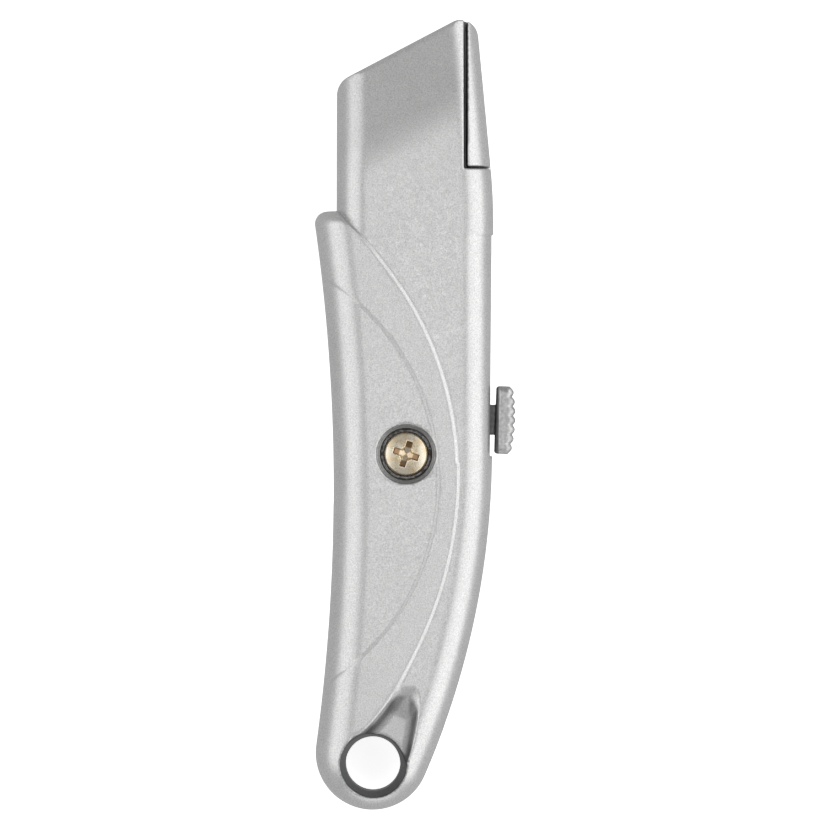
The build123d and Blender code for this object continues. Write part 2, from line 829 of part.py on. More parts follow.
# ---- assembly and export --------------------------------------------------------------------
pieces = {
    "rear_body_half": rear_half(),
    "front_body_half": front_half(),
    "body_screw": body_screw(),
    "blade_carrier": blade_carrier(),
    "thumb_button": thumb_button(),
    "lock_spring": lock_spring(),
    "spring_rivet": spring_rivet(),
    "cutting_blade": cutting_blade(),
}
for number in range(spare_count):
    pieces[f"spare_blade_{number + 1}"] = spare_blade(number)

# The row's origin is the middle of the bounding box's bottom.
box = Compound(children=[Part() + shape for shape in pieces.values()]).bounding_box()
shift = Pos(-box.center().X, -box.center().Y, -box.min.Z)
print("shift", tuple(round(v, 4) for v in shift.position), "size", box.size)
for name, shape in pieces.items():
    export_step(shift * shape, f"parts/{name}.step")
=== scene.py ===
import json
from math import cos, hypot, pi, radians, sin, sqrt, tan

import bpy
import numpy as np
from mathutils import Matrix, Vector


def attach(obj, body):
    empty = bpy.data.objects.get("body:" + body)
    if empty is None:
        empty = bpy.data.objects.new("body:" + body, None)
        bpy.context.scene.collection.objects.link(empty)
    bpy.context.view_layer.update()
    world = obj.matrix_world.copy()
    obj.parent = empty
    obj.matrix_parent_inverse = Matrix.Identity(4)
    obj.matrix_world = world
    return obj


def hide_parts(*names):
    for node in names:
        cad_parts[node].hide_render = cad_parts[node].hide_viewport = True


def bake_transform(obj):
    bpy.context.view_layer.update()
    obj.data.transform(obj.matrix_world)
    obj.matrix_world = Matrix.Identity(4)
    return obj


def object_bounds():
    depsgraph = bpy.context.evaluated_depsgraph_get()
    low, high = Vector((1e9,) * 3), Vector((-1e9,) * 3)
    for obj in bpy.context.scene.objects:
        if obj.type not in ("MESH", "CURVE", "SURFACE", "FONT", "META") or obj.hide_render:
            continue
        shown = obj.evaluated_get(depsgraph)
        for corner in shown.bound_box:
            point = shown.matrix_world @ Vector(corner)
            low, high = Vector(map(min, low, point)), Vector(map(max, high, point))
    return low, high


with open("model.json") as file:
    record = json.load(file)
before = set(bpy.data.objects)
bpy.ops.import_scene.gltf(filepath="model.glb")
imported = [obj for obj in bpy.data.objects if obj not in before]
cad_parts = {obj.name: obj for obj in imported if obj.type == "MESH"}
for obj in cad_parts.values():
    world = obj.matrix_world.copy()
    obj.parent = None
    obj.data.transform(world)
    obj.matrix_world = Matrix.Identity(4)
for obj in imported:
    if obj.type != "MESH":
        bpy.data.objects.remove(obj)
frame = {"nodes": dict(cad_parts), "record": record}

cad_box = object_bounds()

# Design frame, in millimetres: X from the tail to the nose, Y from the spine to the belly,
# Z up from the parting plane of the two halves. MM turns it into the scene's metres.
MM = 0.001

# ---- sizes, in millimetres ---------------------------------------------------------------------
HOLE = (9.1, 23.4)                 # hang hole's axis
HOLE_RADIUS = 5.35
HOLE_MOUTH = (8.9, 23.25)          # the drafted mouth leans towards the tail
HOLE_MOUTH_RADIUS = 6.62
HOLE_BORE_HALF = 3.0
HOLE_WALL = 1.55

LENGTH = 155.0
TOP = 8.3                          # outer face of the grip panel's rim
STEP = 0.35                        # nose and spine lie this much lower
LOW_TOP = TOP - STEP
PANEL_DEPTH = 0.18
SPINE_ROUND = 6.2
BELLY_ROUND = 7.3
NOSE_BELLY_ROUND = 6.0
SPINE_ARC = (70.5, 160.0)          # centre and radius of the spine's arc
TAIL_RADIUS = 11.15
BELLY_ARC_RADIUS = 370.0
SHOULDER = (115.0, 34.85)
SHOULDER_EDGE = 117.45
SHOULDER_CORNER = 2.4
SHOULDER_FRONT_ROUND = 3.0

NOSE_HEIGHT = 30.55
NOSE_ANGLE = 27.8
CHIN_BACK = 12.42
TIP_RADIUS = 3.5
CHIN_RADIUS = 4.0
FRONT_EDGE_ROUND = 0.9
TAPER_ANGLE = 9.5
TAPER_FOLD = 15.5
TAPER_BLEND = 3.75
NOSE_RISE = 0.25
NOSE_SLOPE = 5.36
NOSE_BEND = 120.35
NOSE_BEND_HALF = 5.6

TRACK_FRONT = 112.8
TRACK_LENGTH = 43.4
TRACK_DEPTHS = (0.1, 0.5)          # at the front and the rear end
SLOT_HALF = 1.65
STRIP_WIDTH = 4.85
STRIP_REAR = 126.2
STRIP_GAP = 0.5
STRIP_GAP_SIDE = 0.75

OUTER_APEX = (66.0, 6.6)
OUTER_RADII = (66.0, 76.0)         # nose side and tail side of the apex
BEVEL_START = 68.0                 # the edge is sharp behind it
BEVEL_SLOPE = radians(33.0)        # of the narrow bevel along the grip's edge on the nose side
BEVEL_STEEP = radians(78.0)        # the bevel steepens to this at the shoulder
STEEPENING = (107.0, 112.0)
NOSE_FROM = 60.0                   # forward of it the section is the nose's
CRISP_EDGE = (16.0, 40.0)          # the panel's edge turns from soft to crisp between these
SOFT_EDGE_SHIFT = 2.2
SOFT_EDGE_RUN = 4.0                # the soft edge runs this far for each millimetre it drops
SHARP_ROUND = 0.3
PANEL_BLUR = 0.25
ROUNDING_BLEND = 4.0               # the section's rounding changes this near to the middle
INNER_APEX = (64.5, 10.6)
INNER_RADIUS = 46.6

WALL = 2.0
CHAMBER_HALF = 5.2
TAIL_CHAMBER_HALF = 3.7
RAIL_X = 26.0
CHAMBER_FRONT = 124.0
NOSE_LIP = 3.0
BLADE_BACK = 8.0
BLADE_HEIGHT = 19.0
BLADE_HALF = 0.3
BLADE_GAP = 0.3
CARRIER_HALF = 2.6
SEAT_CLEARANCE = 0.3
CHANNEL_LOW = 5.9                  # carrier's channel through the nose
REAR_CHANNEL_HIGH = 16.6
FRONT_CHANNEL_HIGH = 9.2
SLOT_ENDS = (3.6, 0.6)             # button's slot ends this far inside the track's two ends
PARTING_ROUND = 0.18
OVERLAP = 0.5                      # pieces of one casting run this far into each other

SCREW = (69.85, 16.9)
RECESS_RADIUS = 5.1
RECESS_MOUTH = 5.85
RECESS_MOUTH_DEPTH = 0.6
RECESS_DEPTH = 3.4
BOSS_RADIUS = 4.0
SPIGOT = 1.2
SHANK_RADIUS = 2.45
SHANK_CLEARANCE = 0.25
THREAD_CLEARANCE = 0.05
THREAD_RUNOUT = 0.8
CUP_WALL = 1.6                     # round the screw's recess, inside the front half
CUP_GAP = 0.1                      # between the cup and the rear half's boss
SCREW_BITE = 5.0
HEAD_RADIUS = 4.45
HEAD_HEIGHT = 2.3
HEAD_EDGE = 1.6
HEAD_ROUND = 0.6
CROSS_ARM = 2.65
CROSS_HALF_WIDTH = 0.62
CROSS_DEPTH = 1.9
CROSS_TURN = -18.0
CROSS_TAPERS = (0.25, 0.08)        # the arms get shorter and narrower so much with depth
CROSS_FLOOR_RISE = 0.35            # towards the end of each arm
CROSS_CORE = (1.25, 0.2)           # the middle's half size, and its taper with depth

BUTTON_X = 76.55
BUTTON_LENGTH = 13.3
BUTTON_HALF = 4.2
BUTTON_BASE = -0.64
BUTTON_CREST = 4.55
BUTTON_SAG = 0.75
BUTTON_CORNER = 0.6
BUTTON_UNDER = 0.8
BUTTON_ROUND = 1.25
BUTTON_TILT = 2.0
TOOTH_PITCH = 1.85
TOOTH_DEPTH = 0.48
STEM_HALF_LENGTH = 2.95
STEM_HALF = 1.5
FOOT_HALF_LENGTH = 4.7
FOOT_HALF = 3.0
FOOT_Y = (2.15, 3.25)
PUSHER_Y = 5.17
EAR_GAP = 1.6

SPRING_Y = (5.2, 5.6)              # faces of the leaf spring
SPRING_X = (72.35, 93.2)
SPRING_HALF = 1.7
EAR_HALF = 2.5
EAR_HALF_LENGTH = 1.3
EAR_TIP = 1.75
RIVET_X = 90.6
RIVET_RADIUS = 0.92

hang_hole = next(m for m in frame["record"]["mounts"] if m["name"] == "hang_hole")
ORIGIN = np.array(hang_hole["pos_m"]) / MM - np.array((*HOLE, 0.0))


# ---- distance fields: negative inside, in millimetres ------------------------------------------
def fillet_cut(a, b, radius, cosine=0.0):
    """What is inside both a and b, their edge rounded; cosine is of the angle between normals."""
    p, q = a + radius, b + radius
    corner = (p - cosine * q > 0) & (q - cosine * p > 0)
    reach = np.sqrt(np.maximum(p * p + q * q - 2 * cosine * p * q, 0) / (1 - cosine**2))
    return np.where(corner, reach - radius, np.maximum(a, b))


def soft_join(a, b, radius):
    """What is inside a or b, with the inner corner between them filled softly."""
    share = np.clip(0.5 + 0.5 * (b - a) / radius, 0, 1)
    return b + (a - b) * share - radius * share * (1 - share)


def ramp(value, low, high):
    """Smooth step from 0 at low to 1 at high."""
    t = np.clip((value - low) / (high - low), 0, 1)
    return t * t * (3 - 2 * t)


def circle(x, y, centre, radius):
    return np.hypot(x - centre[0], y - centre[1]) - radius


def box(x, y, z, *limits):
    """Solid between the given (low, high) limits in X, Y and Z."""
    faces = [np.maximum(low - v, v - high) for v, (low, high) in zip((x, y, z), limits)]
    return np.maximum(np.maximum(faces[0], faces[1]), faces[2])


def fold(distance, start, half):
    """0 before start and the distance past it after, with a soft bend half wide each side."""
    soft = (distance - start + half) ** 2 / (4 * half)
    past = distance - start
    return np.where(past < -half, 0.0, np.where(past > half, past, soft))


# ---- outline of the knife ----------------------------------------------------------------------
SPINE_CENTRE = (SPINE_ARC[0], SPINE_ARC[1])
TAIL_CENTRE = (
    TAIL_RADIUS,
    SPINE_ARC[1] - sqrt((SPINE_ARC[1] - TAIL_RADIUS) ** 2 - (SPINE_ARC[0] - TAIL_RADIUS) ** 2),
)


def belly_arc_centre():
    """Centre of the belly arc that touches the tail circle and passes through the shoulder."""
    gap_x, gap_y = SHOULDER[0] - TAIL_CENTRE[0], SHOULDER[1] - TAIL_CENTRE[1]
    gap = hypot(gap_x, gap_y)
    reach = BELLY_ARC_RADIUS + TAIL_RADIUS
    along = (reach**2 - BELLY_ARC_RADIUS**2 + gap**2) / (2 * gap)
    across = sqrt(reach**2 - along**2)
    return (
        TAIL_CENTRE[0] + (gap_x * along - gap_y * across) / gap,
        TAIL_CENTRE[1] + (gap_y * along + gap_x * across) / gap,
    )


BELLY_CENTRE = belly_arc_centre()
FRONT_NORMAL = (cos(radians(NOSE_ANGLE)), sin(radians(NOSE_ANGLE)))
CHIN = (LENGTH - CHIN_BACK, NOSE_HEIGHT)
FRONT_REACH = CHIN[0] * FRONT_NORMAL[0] + CHIN[1] * FRONT_NORMAL[1]


def front_line(x, y):
    """Distance past the slanted front edge of the nose."""
    return x * FRONT_NORMAL[0] + y * FRONT_NORMAL[1] - FRONT_REACH


def spine_line(x, y):
    """Distance past the spine, from the tail's arc to the nose's slope."""
    slope = tan(radians(NOSE_SLOPE))
    edge = slope * fold(x, NOSE_BEND, NOSE_BEND_HALF) - NOSE_RISE * (x > TRACK_FRONT)
    straight = (edge - y) * np.where(x > NOSE_BEND, cos(radians(NOSE_SLOPE)), 1.0)
    return np.where(x < SPINE_CENTRE[0], circle(x, y, SPINE_CENTRE, SPINE_ARC[1]), straight)


def belly_line(x, y):
    """Distance past the hollow belly arc of the grip."""
    return -circle(x, y, BELLY_CENTRE, BELLY_ARC_RADIUS)


def grip_outline(x, y):
    """Distance past spine, tail and belly of the grip."""
    body = np.maximum(spine_line(x, y), belly_line(x, y))
    out = (TAIL_CENTRE[0] - SPINE_CENTRE[0], TAIL_CENTRE[1] - SPINE_CENTRE[1])
    down = (BELLY_CENTRE[0] - TAIL_CENTRE[0], BELLY_CENTRE[1] - TAIL_CENTRE[1])
    dx, dy = x - TAIL_CENTRE[0], y - TAIL_CENTRE[1]
    behind_spine = dx * out[1] - dy * out[0] > 0
    behind_belly = dx * down[1] - dy * down[0] < 0
    at_tail = behind_spine & behind_belly
    return np.where(at_tail, circle(x, y, TAIL_CENTRE, TAIL_RADIUS), body)


def nose_outline(x, y):
    """Distance past the nose, with its rounded tip and chin."""
    slope = radians(NOSE_SLOPE)
    cosine = sin(slope) * FRONT_NORMAL[0] - cos(slope) * FRONT_NORMAL[1]
    tip = fillet_cut(spine_line(x, y), front_line(x, y), TIP_RADIUS, cosine)
    return fillet_cut(tip, y - NOSE_HEIGHT, CHIN_RADIUS, FRONT_NORMAL[1])


def smooth_loop(points):
    """Closed outline through rounded corners of the given points."""
    loop = np.array(points, float)
    for _ in range(3):
        ahead = np.roll(loop, -1, axis=0)
        loop = np.stack((loop * 0.75 + ahead * 0.25, loop * 0.25 + ahead * 0.75), 1)
        loop = loop.reshape(-1, 2)
    return loop


def loop_distance(x, y, loop):
    """Signed distance to a closed outline."""
    nearest, inside = None, None
    for (ax, ay), (bx, by) in zip(loop, np.roll(loop, -1, axis=0)):
        ex, ey = bx - ax, by - ay
        t = np.clip(((x - ax) * ex + (y - ay) * ey) / (ex * ex + ey * ey), 0, 1)
        gap = np.hypot(x - ax - t * ex, y - ay - t * ey)
        cross = ((ay <= y) != (by <= y)) & (x < ax + (y - ay) * ex / (ey if ey else 1e-9))
        nearest = gap if nearest is None else np.minimum(nearest, gap)
        inside = cross if inside is None else inside ^ cross
    return np.where(inside, -nearest, nearest)


# ---- outer surface of one half, from the parting plane up --------------------------------------
POCKET_DEPTH = 2.1
POCKET_WALL = 2.3                  # width of its sloping walls in plan
POCKET_TIP = (23.6, 16.4)
POCKET_TIP_RAMP = 5.8              # the floor rises this long before the tip
POCKET_MOUTH = smooth_loop(
    [(7.5, 29.0), (14.4, 28.0), (15.2, 25.3), (20.4, 20.8), (24.3, 18.4), (24.6, 14.3),
     (20.6, 14.1), (13.0, 15.3), (7.5, 16.9), (4.0, 19.5), (4.0, 27.0)]
)


def from_pocket_tip(x, y):
    """Distance from the pocket's tip towards the hang hole."""
    away = (HOLE[0] - POCKET_TIP[0], HOLE[1] - POCKET_TIP[1])
    return ((x - POCKET_TIP[0]) * away[0] + (y - POCKET_TIP[1]) * away[1]) / hypot(*away)


def pocket_surface(x, y):
    """Height of the thumb pocket, which slopes up to the face at its tip."""
    wall = np.clip(-loop_distance(x, y, POCKET_MOUTH) / POCKET_WALL, -2, 1)
    tip = ramp(from_pocket_tip(x, y), -0.15 * POCKET_TIP_RAMP, POCKET_TIP_RAMP)
    down = np.where(wall < 0, wall, wall * (2 - wall) * (0.10 + 0.90 * tip))
    return LOW_TOP - POCKET_DEPTH * down


def hole_wall(x, y, z):
    """Distance from the drafted wall of the hang hole."""
    rise = np.clip((z - HOLE_BORE_HALF) / (LOW_TOP - HOLE_BORE_HALF), 0, 1.3)
    hole_x = HOLE[0] + (HOLE_MOUTH[0] - HOLE[0]) * rise
    hole_y = HOLE[1] + (HOLE_MOUTH[1] - HOLE[1]) * rise
    radius = HOLE_RADIUS + (HOLE_MOUTH_RADIUS - HOLE_RADIUS) * rise
    return np.hypot(x - hole_x, y - hole_y) - radius


def outer_half(x, y, z):
    """One half's outer shape, its parting plane left open."""
    spine, belly = spine_line(x, y), belly_line(x, y)
    belly_share = ramp(belly - spine, -ROUNDING_BLEND, ROUNDING_BLEND)
    in_nose = x > NOSE_FROM
    belly_round = np.where(in_nose, NOSE_BELLY_ROUND, BELLY_ROUND)
    rounding = SPINE_ROUND + (belly_round - SPINE_ROUND) * belly_share
    taper = tan(radians(TAPER_ANGLE)) * fold(front_line(x, y), -TAPER_FOLD, TAPER_BLEND)
    low_top = z - LOW_TOP + taper
    sides = np.where(in_nose, np.maximum(spine, y - NOSE_HEIGHT), grip_outline(x, y))
    low = fillet_cut(sides, low_top, rounding)
    nose = fillet_cut(nose_outline(x, y), low_top, FRONT_EDGE_ROUND)
    low = np.where(in_nose, np.maximum(low, nose), low)

    inner_centre = (INNER_APEX[0], INNER_APEX[1] + INNER_RADIUS)
    panel = ramp(circle(x, y, inner_centre, INNER_RADIUS), PANEL_BLUR, -PANEL_BLUR)
    raised = fillet_cut(grip_outline(x, y), z - TOP + PANEL_DEPTH * panel, BELLY_ROUND)
    lean = (BELLY_CENTRE[0] - SHOULDER_EDGE) / BELLY_ARC_RADIUS * ramp(TOP - z, 1, 5)
    corner = SHOULDER_CORNER + (SHOULDER_FRONT_ROUND - SHOULDER_CORNER) * ramp(z, 3, 7)
    raised = fillet_cut(raised, x - SHOULDER_EDGE, corner, lean)
    radius = np.where(x > OUTER_APEX[0], *OUTER_RADII)
    region = np.hypot(x - OUTER_APEX[0], y - OUTER_APEX[1] - radius) - radius
    steep = BEVEL_SLOPE + (BEVEL_STEEP - BEVEL_SLOPE) * ramp(x, *STEEPENING)
    bevel = region * np.sin(steep) + (z - LOW_TOP + 0.03) * np.cos(steep)
    sharp = fillet_cut(raised, region, SHARP_ROUND)
    drop = (region - SOFT_EDGE_SHIFT + SOFT_EDGE_RUN * (z - LOW_TOP)) * 0.24
    soft = np.maximum(raised, drop)
    edge = np.where(x > BEVEL_START, np.maximum(raised, bevel), sharp)
    crisp = ramp(x, *CRISP_EDGE)
    raised = edge * crisp + soft * (1 - crisp)
    shape = soft_join(raised, low, 0.16)

    share = (x - TRACK_FRONT + TRACK_LENGTH) / TRACK_LENGTH
    track_y = TRACK_DEPTHS[1] + (TRACK_DEPTHS[0] - TRACK_DEPTHS[1]) * share
    track = np.maximum(np.maximum(y - track_y, x - TRACK_FRONT), TRACK_FRONT - TRACK_LENGTH - x)
    shape = fillet_cut(shape, -track, 0.15)
    shape = np.maximum(shape, (z - pocket_surface(x, y)) * 0.7)
    return fillet_cut(shape, -hole_wall(x, y, z), 0.25)


# ---- hollows -----------------------------------------------------------------------------------
def chamber(x, y, z):
    """Hollow of the grip and nose behind the blade's slot."""
    plan = np.maximum(grip_outline(x, y) + WALL, x - CHAMBER_FRONT)
    plan = np.where(x > SHOULDER[0] - 4, np.maximum(plan, y - NOSE_HEIGHT + WALL), plan)
    plan = np.maximum(plan, -circle(x, y, HOLE, HOLE_RADIUS + HOLE_WALL))
    deep = fillet_cut(np.maximum(plan, RAIL_X - x), z - CHAMBER_HALF, 0.6)
    return np.minimum(deep, fillet_cut(plan, z - TAIL_CHAMBER_HALF, 0.6))


def passage(x, y, z, low, high, half, lip):
    """Straight passage through the nose, ending lip behind the front edge."""
    plan = np.maximum(np.maximum(low - y, y - high), CHAMBER_FRONT - 1 - x)
    return np.maximum(np.maximum(plan, front_line(x, y) + lip), z - half)


def hollows(x, y, z, channel_high):
    """Everything that both halves have cut out of them, from the parting plane up."""
    cut = chamber(x, y, z)
    low, high = BLADE_BACK - BLADE_GAP, BLADE_BACK + BLADE_HEIGHT + BLADE_GAP
    cut = np.minimum(cut, passage(x, y, z, low, high, BLADE_HALF + BLADE_GAP, -5.0))
    channel = CARRIER_HALF + SEAT_CLEARANCE
    cut = np.minimum(cut, passage(x, y, z, CHANNEL_LOW, channel_high, channel, NOSE_LIP))
    slot_front = TRACK_FRONT - SLOT_ENDS[1]
    slot_rear = TRACK_FRONT - TRACK_LENGTH + SLOT_ENDS[0]
    slot = box(x, y, z, (slot_rear, slot_front), (-4, WALL + 1), (-9, SLOT_HALF))
    return np.minimum(cut, slot)


def rear_half(x, y, z):
    """Rear half below the parting plane, and the nose strip that it carries above the plane."""
    under = -z
    shell = fillet_cut(outer_half(x, y, under), z, PARTING_ROUND)
    strip = np.maximum(STRIP_REAR - x, y - STRIP_WIDTH)
    strip = fillet_cut(outer_half(x, y, z), np.maximum(strip, -1 - z), 0.2)
    shell = np.minimum(shell, strip)
    cut = np.maximum(hollows(x, y, under, REAR_CHANNEL_HIGH), z - OVERLAP)
    shell = np.maximum(shell, -cut)
    boss = fillet_cut(circle(x, y, SCREW, BOSS_RADIUS), z - SPIGOT, 0.2)
    shell = np.minimum(shell, np.maximum(boss, -CHAMBER_HALF - OVERLAP - z))
    thread = circle(x, y, SCREW, SHANK_RADIUS + THREAD_CLEARANCE)
    return np.maximum(shell, -np.maximum(thread, -SCREW_BITE - THREAD_RUNOUT - z))


def front_half(x, y, z):
    """Front half above the parting plane, open over the nose strip."""
    shell = fillet_cut(outer_half(x, y, z), -z, PARTING_ROUND)
    gap = np.maximum(STRIP_REAR - STRIP_GAP - x, y - STRIP_WIDTH - STRIP_GAP_SIDE)
    shell = fillet_cut(shell, -gap, 0.2)
    shell = np.maximum(shell, -hollows(x, y, z, FRONT_CHANNEL_HIGH))
    cup = np.maximum(circle(x, y, SCREW, RECESS_RADIUS + CUP_WALL), SPIGOT + CUP_GAP - z)
    shell = np.minimum(shell, np.maximum(cup, z - CHAMBER_HALF - OVERLAP))
    bore = circle(x, y, SCREW, SHANK_RADIUS + SHANK_CLEARANCE)
    panel = TOP - PANEL_DEPTH
    recess = np.maximum(circle(x, y, SCREW, RECESS_RADIUS), panel - RECESS_DEPTH - z)
    mouth = np.maximum(circle(x, y, SCREW, RECESS_MOUTH), panel - RECESS_MOUTH_DEPTH - z)
    for cut in (bore, recess, mouth):
        shell = fillet_cut(shell, -cut, 0.12)
    return shell


# ---- button and screw --------------------------------------------------------------------------
def thumb_button(x, y, z):
    """Cap with a crowned, toothed crest, its stem through the slot and its foot inside."""
    turn = radians(BUTTON_TILT)
    along = (x - BUTTON_X) * cos(turn) - (y - BUTTON_BASE) * sin(turn)
    up = -(x - BUTTON_X) * sin(turn) - (y - BUTTON_BASE) * cos(turn)
    half = BUTTON_LENGTH / 2
    radius = (half**2 + BUTTON_SAG**2) / (2 * BUTTON_SAG)
    crest = BUTTON_CREST + BUTTON_BASE - radius + np.sqrt(np.maximum(radius**2 - along**2, 0))
    tooth = TOOTH_DEPTH * (1 - np.abs(np.cos(pi * along / TOOTH_PITCH)))
    ends = fillet_cut(np.abs(along) - half, -up, BUTTON_CORNER)
    profile = fillet_cut(ends, (up - crest + tooth) * 0.85, 0.3)
    sides = np.abs(z) - BUTTON_HALF
    cap = fillet_cut(profile, sides, BUTTON_ROUND)
    under = (np.abs(z) - BUTTON_HALF - up + BUTTON_UNDER) / sqrt(2)
    cap = np.maximum(cap, under)
    dx = np.abs(x - BUTTON_X)
    thick = np.abs(z)
    stem_y = (BUTTON_BASE - 0.6, FOOT_Y[1])
    stem = box(dx, y, thick, (-9, STEM_HALF_LENGTH), stem_y, (-9, STEM_HALF))
    foot = box(dx, y, thick, (-9, FOOT_HALF_LENGTH), FOOT_Y, (-9, FOOT_HALF))
    foot = np.maximum(foot, -np.maximum(dx - EAR_GAP, STEM_HALF + 0.05 - thick))
    push = box(dx, y, thick, (-9, STEM_HALF), (FOOT_Y[1] - 0.2, PUSHER_Y), (-9, STEM_HALF))
    return np.minimum(soft_join(cap, stem, 0.25), np.minimum(foot, push))


def body_screw(x, y, z):
    """Pan head with a tapering cross recess on a plain shank."""
    dx, dy = x - SCREW[0], y - SCREW[1]
    reach = np.hypot(dx, dy)
    seat = TOP - PANEL_DEPTH - RECESS_DEPTH
    rise = HEAD_HEIGHT - HEAD_EDGE
    crown = (HEAD_RADIUS**2 + rise**2) / (2 * rise)
    dome = np.sqrt(reach**2 + (z - seat - HEAD_HEIGHT + crown) ** 2) - crown
    head = fillet_cut(dome, reach - HEAD_RADIUS, HEAD_ROUND)
    head = np.maximum(head, seat - z)
    turn = radians(CROSS_TURN)
    u = np.abs(dx * cos(turn) + dy * sin(turn))
    v = np.abs(-dx * sin(turn) + dy * cos(turn))
    depth = seat + HEAD_HEIGHT - z
    length = CROSS_ARM - CROSS_TAPERS[0] * np.maximum(depth, 0)
    width = CROSS_HALF_WIDTH - CROSS_TAPERS[1] * depth
    arms = [np.maximum(a - length, b - width) for a, b in ((u, v), (v, u))]
    core = (u + v) * 0.7 - CROSS_CORE[0] + CROSS_CORE[1] * depth
    cross = np.minimum(np.minimum(*arms), core)
    bottom = seat + HEAD_HEIGHT - CROSS_DEPTH + CROSS_FLOOR_RISE * np.maximum(u, v) - z
    head = fillet_cut(head, -np.maximum(cross * 0.85, bottom), 0.08)
    shank = fillet_cut(reach - SHANK_RADIUS, -SCREW_BITE - z, 0.5)
    return np.minimum(head, np.maximum(shank, z - seat - 0.2))


def lock_spring(x, y, z):
    """Leaf with a hole for its rivet and two ears bent up beside the button's pusher."""
    dx, thick = np.abs(x - BUTTON_X), np.abs(z)
    leaf = box(x, y, thick, SPRING_X, SPRING_Y, (-9, SPRING_HALF))
    wings = box(dx, y, thick, (-9, EAR_HALF_LENGTH), SPRING_Y, (-9, EAR_HALF))
    inner = EAR_HALF - SPRING_Y[1] + SPRING_Y[0]
    ear_y = (EAR_TIP, SPRING_Y[1] - 0.1)
    ears = box(dx, y, thick, (-9, EAR_HALF_LENGTH), ear_y, (inner, EAR_HALF))
    shape = np.minimum(np.minimum(leaf, wings), ears)
    return np.maximum(shape, RIVET_RADIUS - np.hypot(x - RIVET_X, z))


# ---- from distance field to mesh ---------------------------------------------------------------
def surface_nets(values):
    """Vertices, in grid steps, and quads of the surface where the field crosses zero."""
    rings, spots = [], []
    for axis in range(3):
        across = ((axis + 1) % 3, (axis + 2) % 3)
        start = values[tuple(slice(None, -1) if a == axis else slice(None) for a in range(3))]
        stop = values[tuple(slice(1, None) if a == axis else slice(None) for a in range(3))]
        edges = np.argwhere((start < 0) != (stop < 0))
        first, last = start[tuple(edges.T)], stop[tuple(edges.T)]
        spot = edges.astype(float)
        spot[:, axis] += first / (first - last)
        ring = np.repeat(edges[:, None, :], 4, axis=1)
        for corner, steps in enumerate(((0, 0), (-1, 0), (-1, -1), (0, -1))):
            ring[:, corner, across[0]] += steps[0]
            ring[:, corner, across[1]] += steps[1]
        ring[first > 0] = ring[first > 0][:, ::-1]
        rings.append(ring.reshape(-1, 3))
        spots.append(np.repeat(spot, 4, axis=0))
    rings, spots = np.concatenate(rings), np.concatenate(spots)
    flat = np.ravel_multi_index((rings + 1).T, [n + 1 for n in values.shape])
    _, index = np.unique(flat, return_inverse=True)
    count = np.bincount(index)
    points = np.stack([np.bincount(index, spots[:, k]) / count for k in range(3)], 1)
    return points, index.reshape(-1, 4)


def settle(shape, points, step):
    """Moves the points onto the surface of the shape."""
    nudge = 0.02
    for _ in range(3):
        value = shape(*points.T)
        slope = np.stack(
            [
                (shape(*(points + nudge * e).T) - shape(*(points - nudge * e).T)) / (2 * nudge)
                for e in np.eye(3)
            ],
            1,
        )
        steep = np.maximum((slope**2).sum(1), 0.25)
        move = -value[:, None] * slope / steep[:, None]
        size = np.linalg.norm(move, axis=1, keepdims=True)
        points = points + move * np.minimum(1, 0.3 * step / np.maximum(size, 1e-9))
    return points


def sculpt(name, shape, low, high, step, keep, material, body, shade=None):
    """Mesh piece of a shape, keeping that share of its faces, in place of the CAD node."""
    axes = [np.arange(a, b + step, step) for a, b in zip(low, high)]
    x, y, z = np.meshgrid(*axes, indexing="ij", sparse=True)
    values = np.broadcast_to(shape(x, y, z), [len(a) for a in axes])
    points, quads = surface_nets(np.ascontiguousarray(values))
    points = settle(shape, points * step + np.array(low), step)
    mesh = bpy.data.meshes.new(name)
    mesh.from_pydata(((points + ORIGIN) * MM).tolist(), [], quads.tolist())
    mesh.polygons.foreach_set("use_smooth", [True] * len(mesh.polygons))
    piece = bpy.data.objects.new(name + ".cast", mesh)
    bpy.context.scene.collection.objects.link(piece)
    if keep < 1:
        piece.modifiers.new("thin", "DECIMATE").ratio = keep
    normals = piece.modifiers.new("normals", "WEIGHTED_NORMAL")
    normals.weight = 80
    normals.keep_sharp = True
    apply_modifiers(piece)
    # painted shade, stored on the mesh for the materials to darken by
    if shade:
        paint_shade(piece.data, shade)
    piece.data.materials.append(material)
    if body:
        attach(piece, body)
    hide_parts(name)
    return piece


def apply_modifiers(piece):
    """Bakes the piece's modifiers into its mesh."""
    graph = bpy.context.evaluated_depsgraph_get()
    baked = bpy.data.meshes.new_from_object(piece.evaluated_get(graph), depsgraph=graph)
    piece.modifiers.clear()
    piece.data = baked


# ---- painted shade: how dark each spot is, read by the materials -------------------------------
def paint_shade(mesh, shade):
    """Stores the painted shade of each vertex as an attribute."""
    places = np.empty(len(mesh.vertices) * 3, np.float32)
    mesh.vertices.foreach_get("co", places)
    x, y, z = (places.reshape(-1, 3) / MM - ORIGIN).T
    spots = mesh.attributes.new("shade", "FLOAT", "POINT")
    spots.data.foreach_set("value", shade(x, y, z).astype(np.float32))


